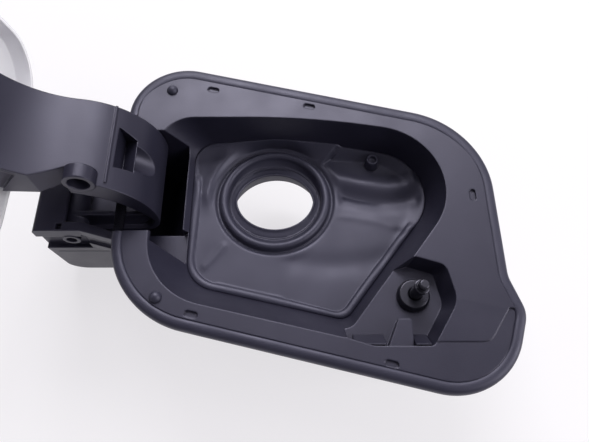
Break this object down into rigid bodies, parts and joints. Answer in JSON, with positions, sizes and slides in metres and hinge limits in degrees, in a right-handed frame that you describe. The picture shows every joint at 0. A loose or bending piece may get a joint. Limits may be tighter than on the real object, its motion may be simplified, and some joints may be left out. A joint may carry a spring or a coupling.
{
  "type": "car fuel door",
  "caption": "Car fuel filler flap: sealed black housing with a rubber floor and neck collar, a gooseneck arm on a pin that carries the pale outer door, and a sprung lock pin.",
  "frame": {"origin": "on the axis of the filler neck collar, at the collar's lower mouth", "axes": "+Z out of the car body along the collar, +X from the hinge towards the lock, Y along the hinge pin"},
  "size_m": [0.2793, 0.1895, 0.2817],
  "materials": {
    "moulded_black": "satin",
    "moulded_dark_grey": "satin",
    "rubber_black": "matte",
    "steel": "zinc plated",
    "bearing_plastic": "smooth",
    "door_paint": "painted",
    "pin_plastic": "smooth"
  },
  "bodies": {
    "housing_body": {"housing": "moulded_black", "rim_seal": "rubber_black", "neck_seal": "rubber_black", "bump_stop_far": "rubber_black", "bump_stop_near": "rubber_black", "hinge_pin": "steel", "pin_clip": "steel", "hinge_spring": "steel", "lock_case": "moulded_dark_grey", "lock_cover": "moulded_dark_grey", "lock_grommet": "rubber_black", "pin_spring": "steel", "lock_screw_1": "steel", "lock_screw_2": "steel", "lock_screw_3": "steel", "lock_screw_4": "steel"},
    "door_body": {"hinge_arm": "moulded_black", "hinge_bush_near": "bearing_plastic", "hinge_bush_far": "bearing_plastic", "door_panel": "door_paint", "striker": "moulded_dark_grey", "door_screw_1": "steel", "door_screw_2": "steel", "door_screw_3": "steel", "door_screw_4": "steel", "door_buffer_1": "rubber_black", "door_buffer_2": "rubber_black"},
    "lock_pin_body": {"lock_pin": "pin_plastic"}
  },
  "joints": [
    {"name": "door_hinge", "type": "hinge", "parent": "housing_body", "child": "door_body", "pos_m": [-0.1125, 0, 0.036], "axis": [0, 1, 0], "range_deg": [0, 92], "deforming": ["hinge_spring"]},
    {"name": "lock_slide", "type": "slide", "parent": "housing_body", "child": "lock_pin_body", "axis": [-0.1045, 0, -0.9945], "range_m": [0, 0.008], "stiffness_N_per_m": 400, "springref_m": -0.01, "deforming": ["pin_spring"]}
  ]
}
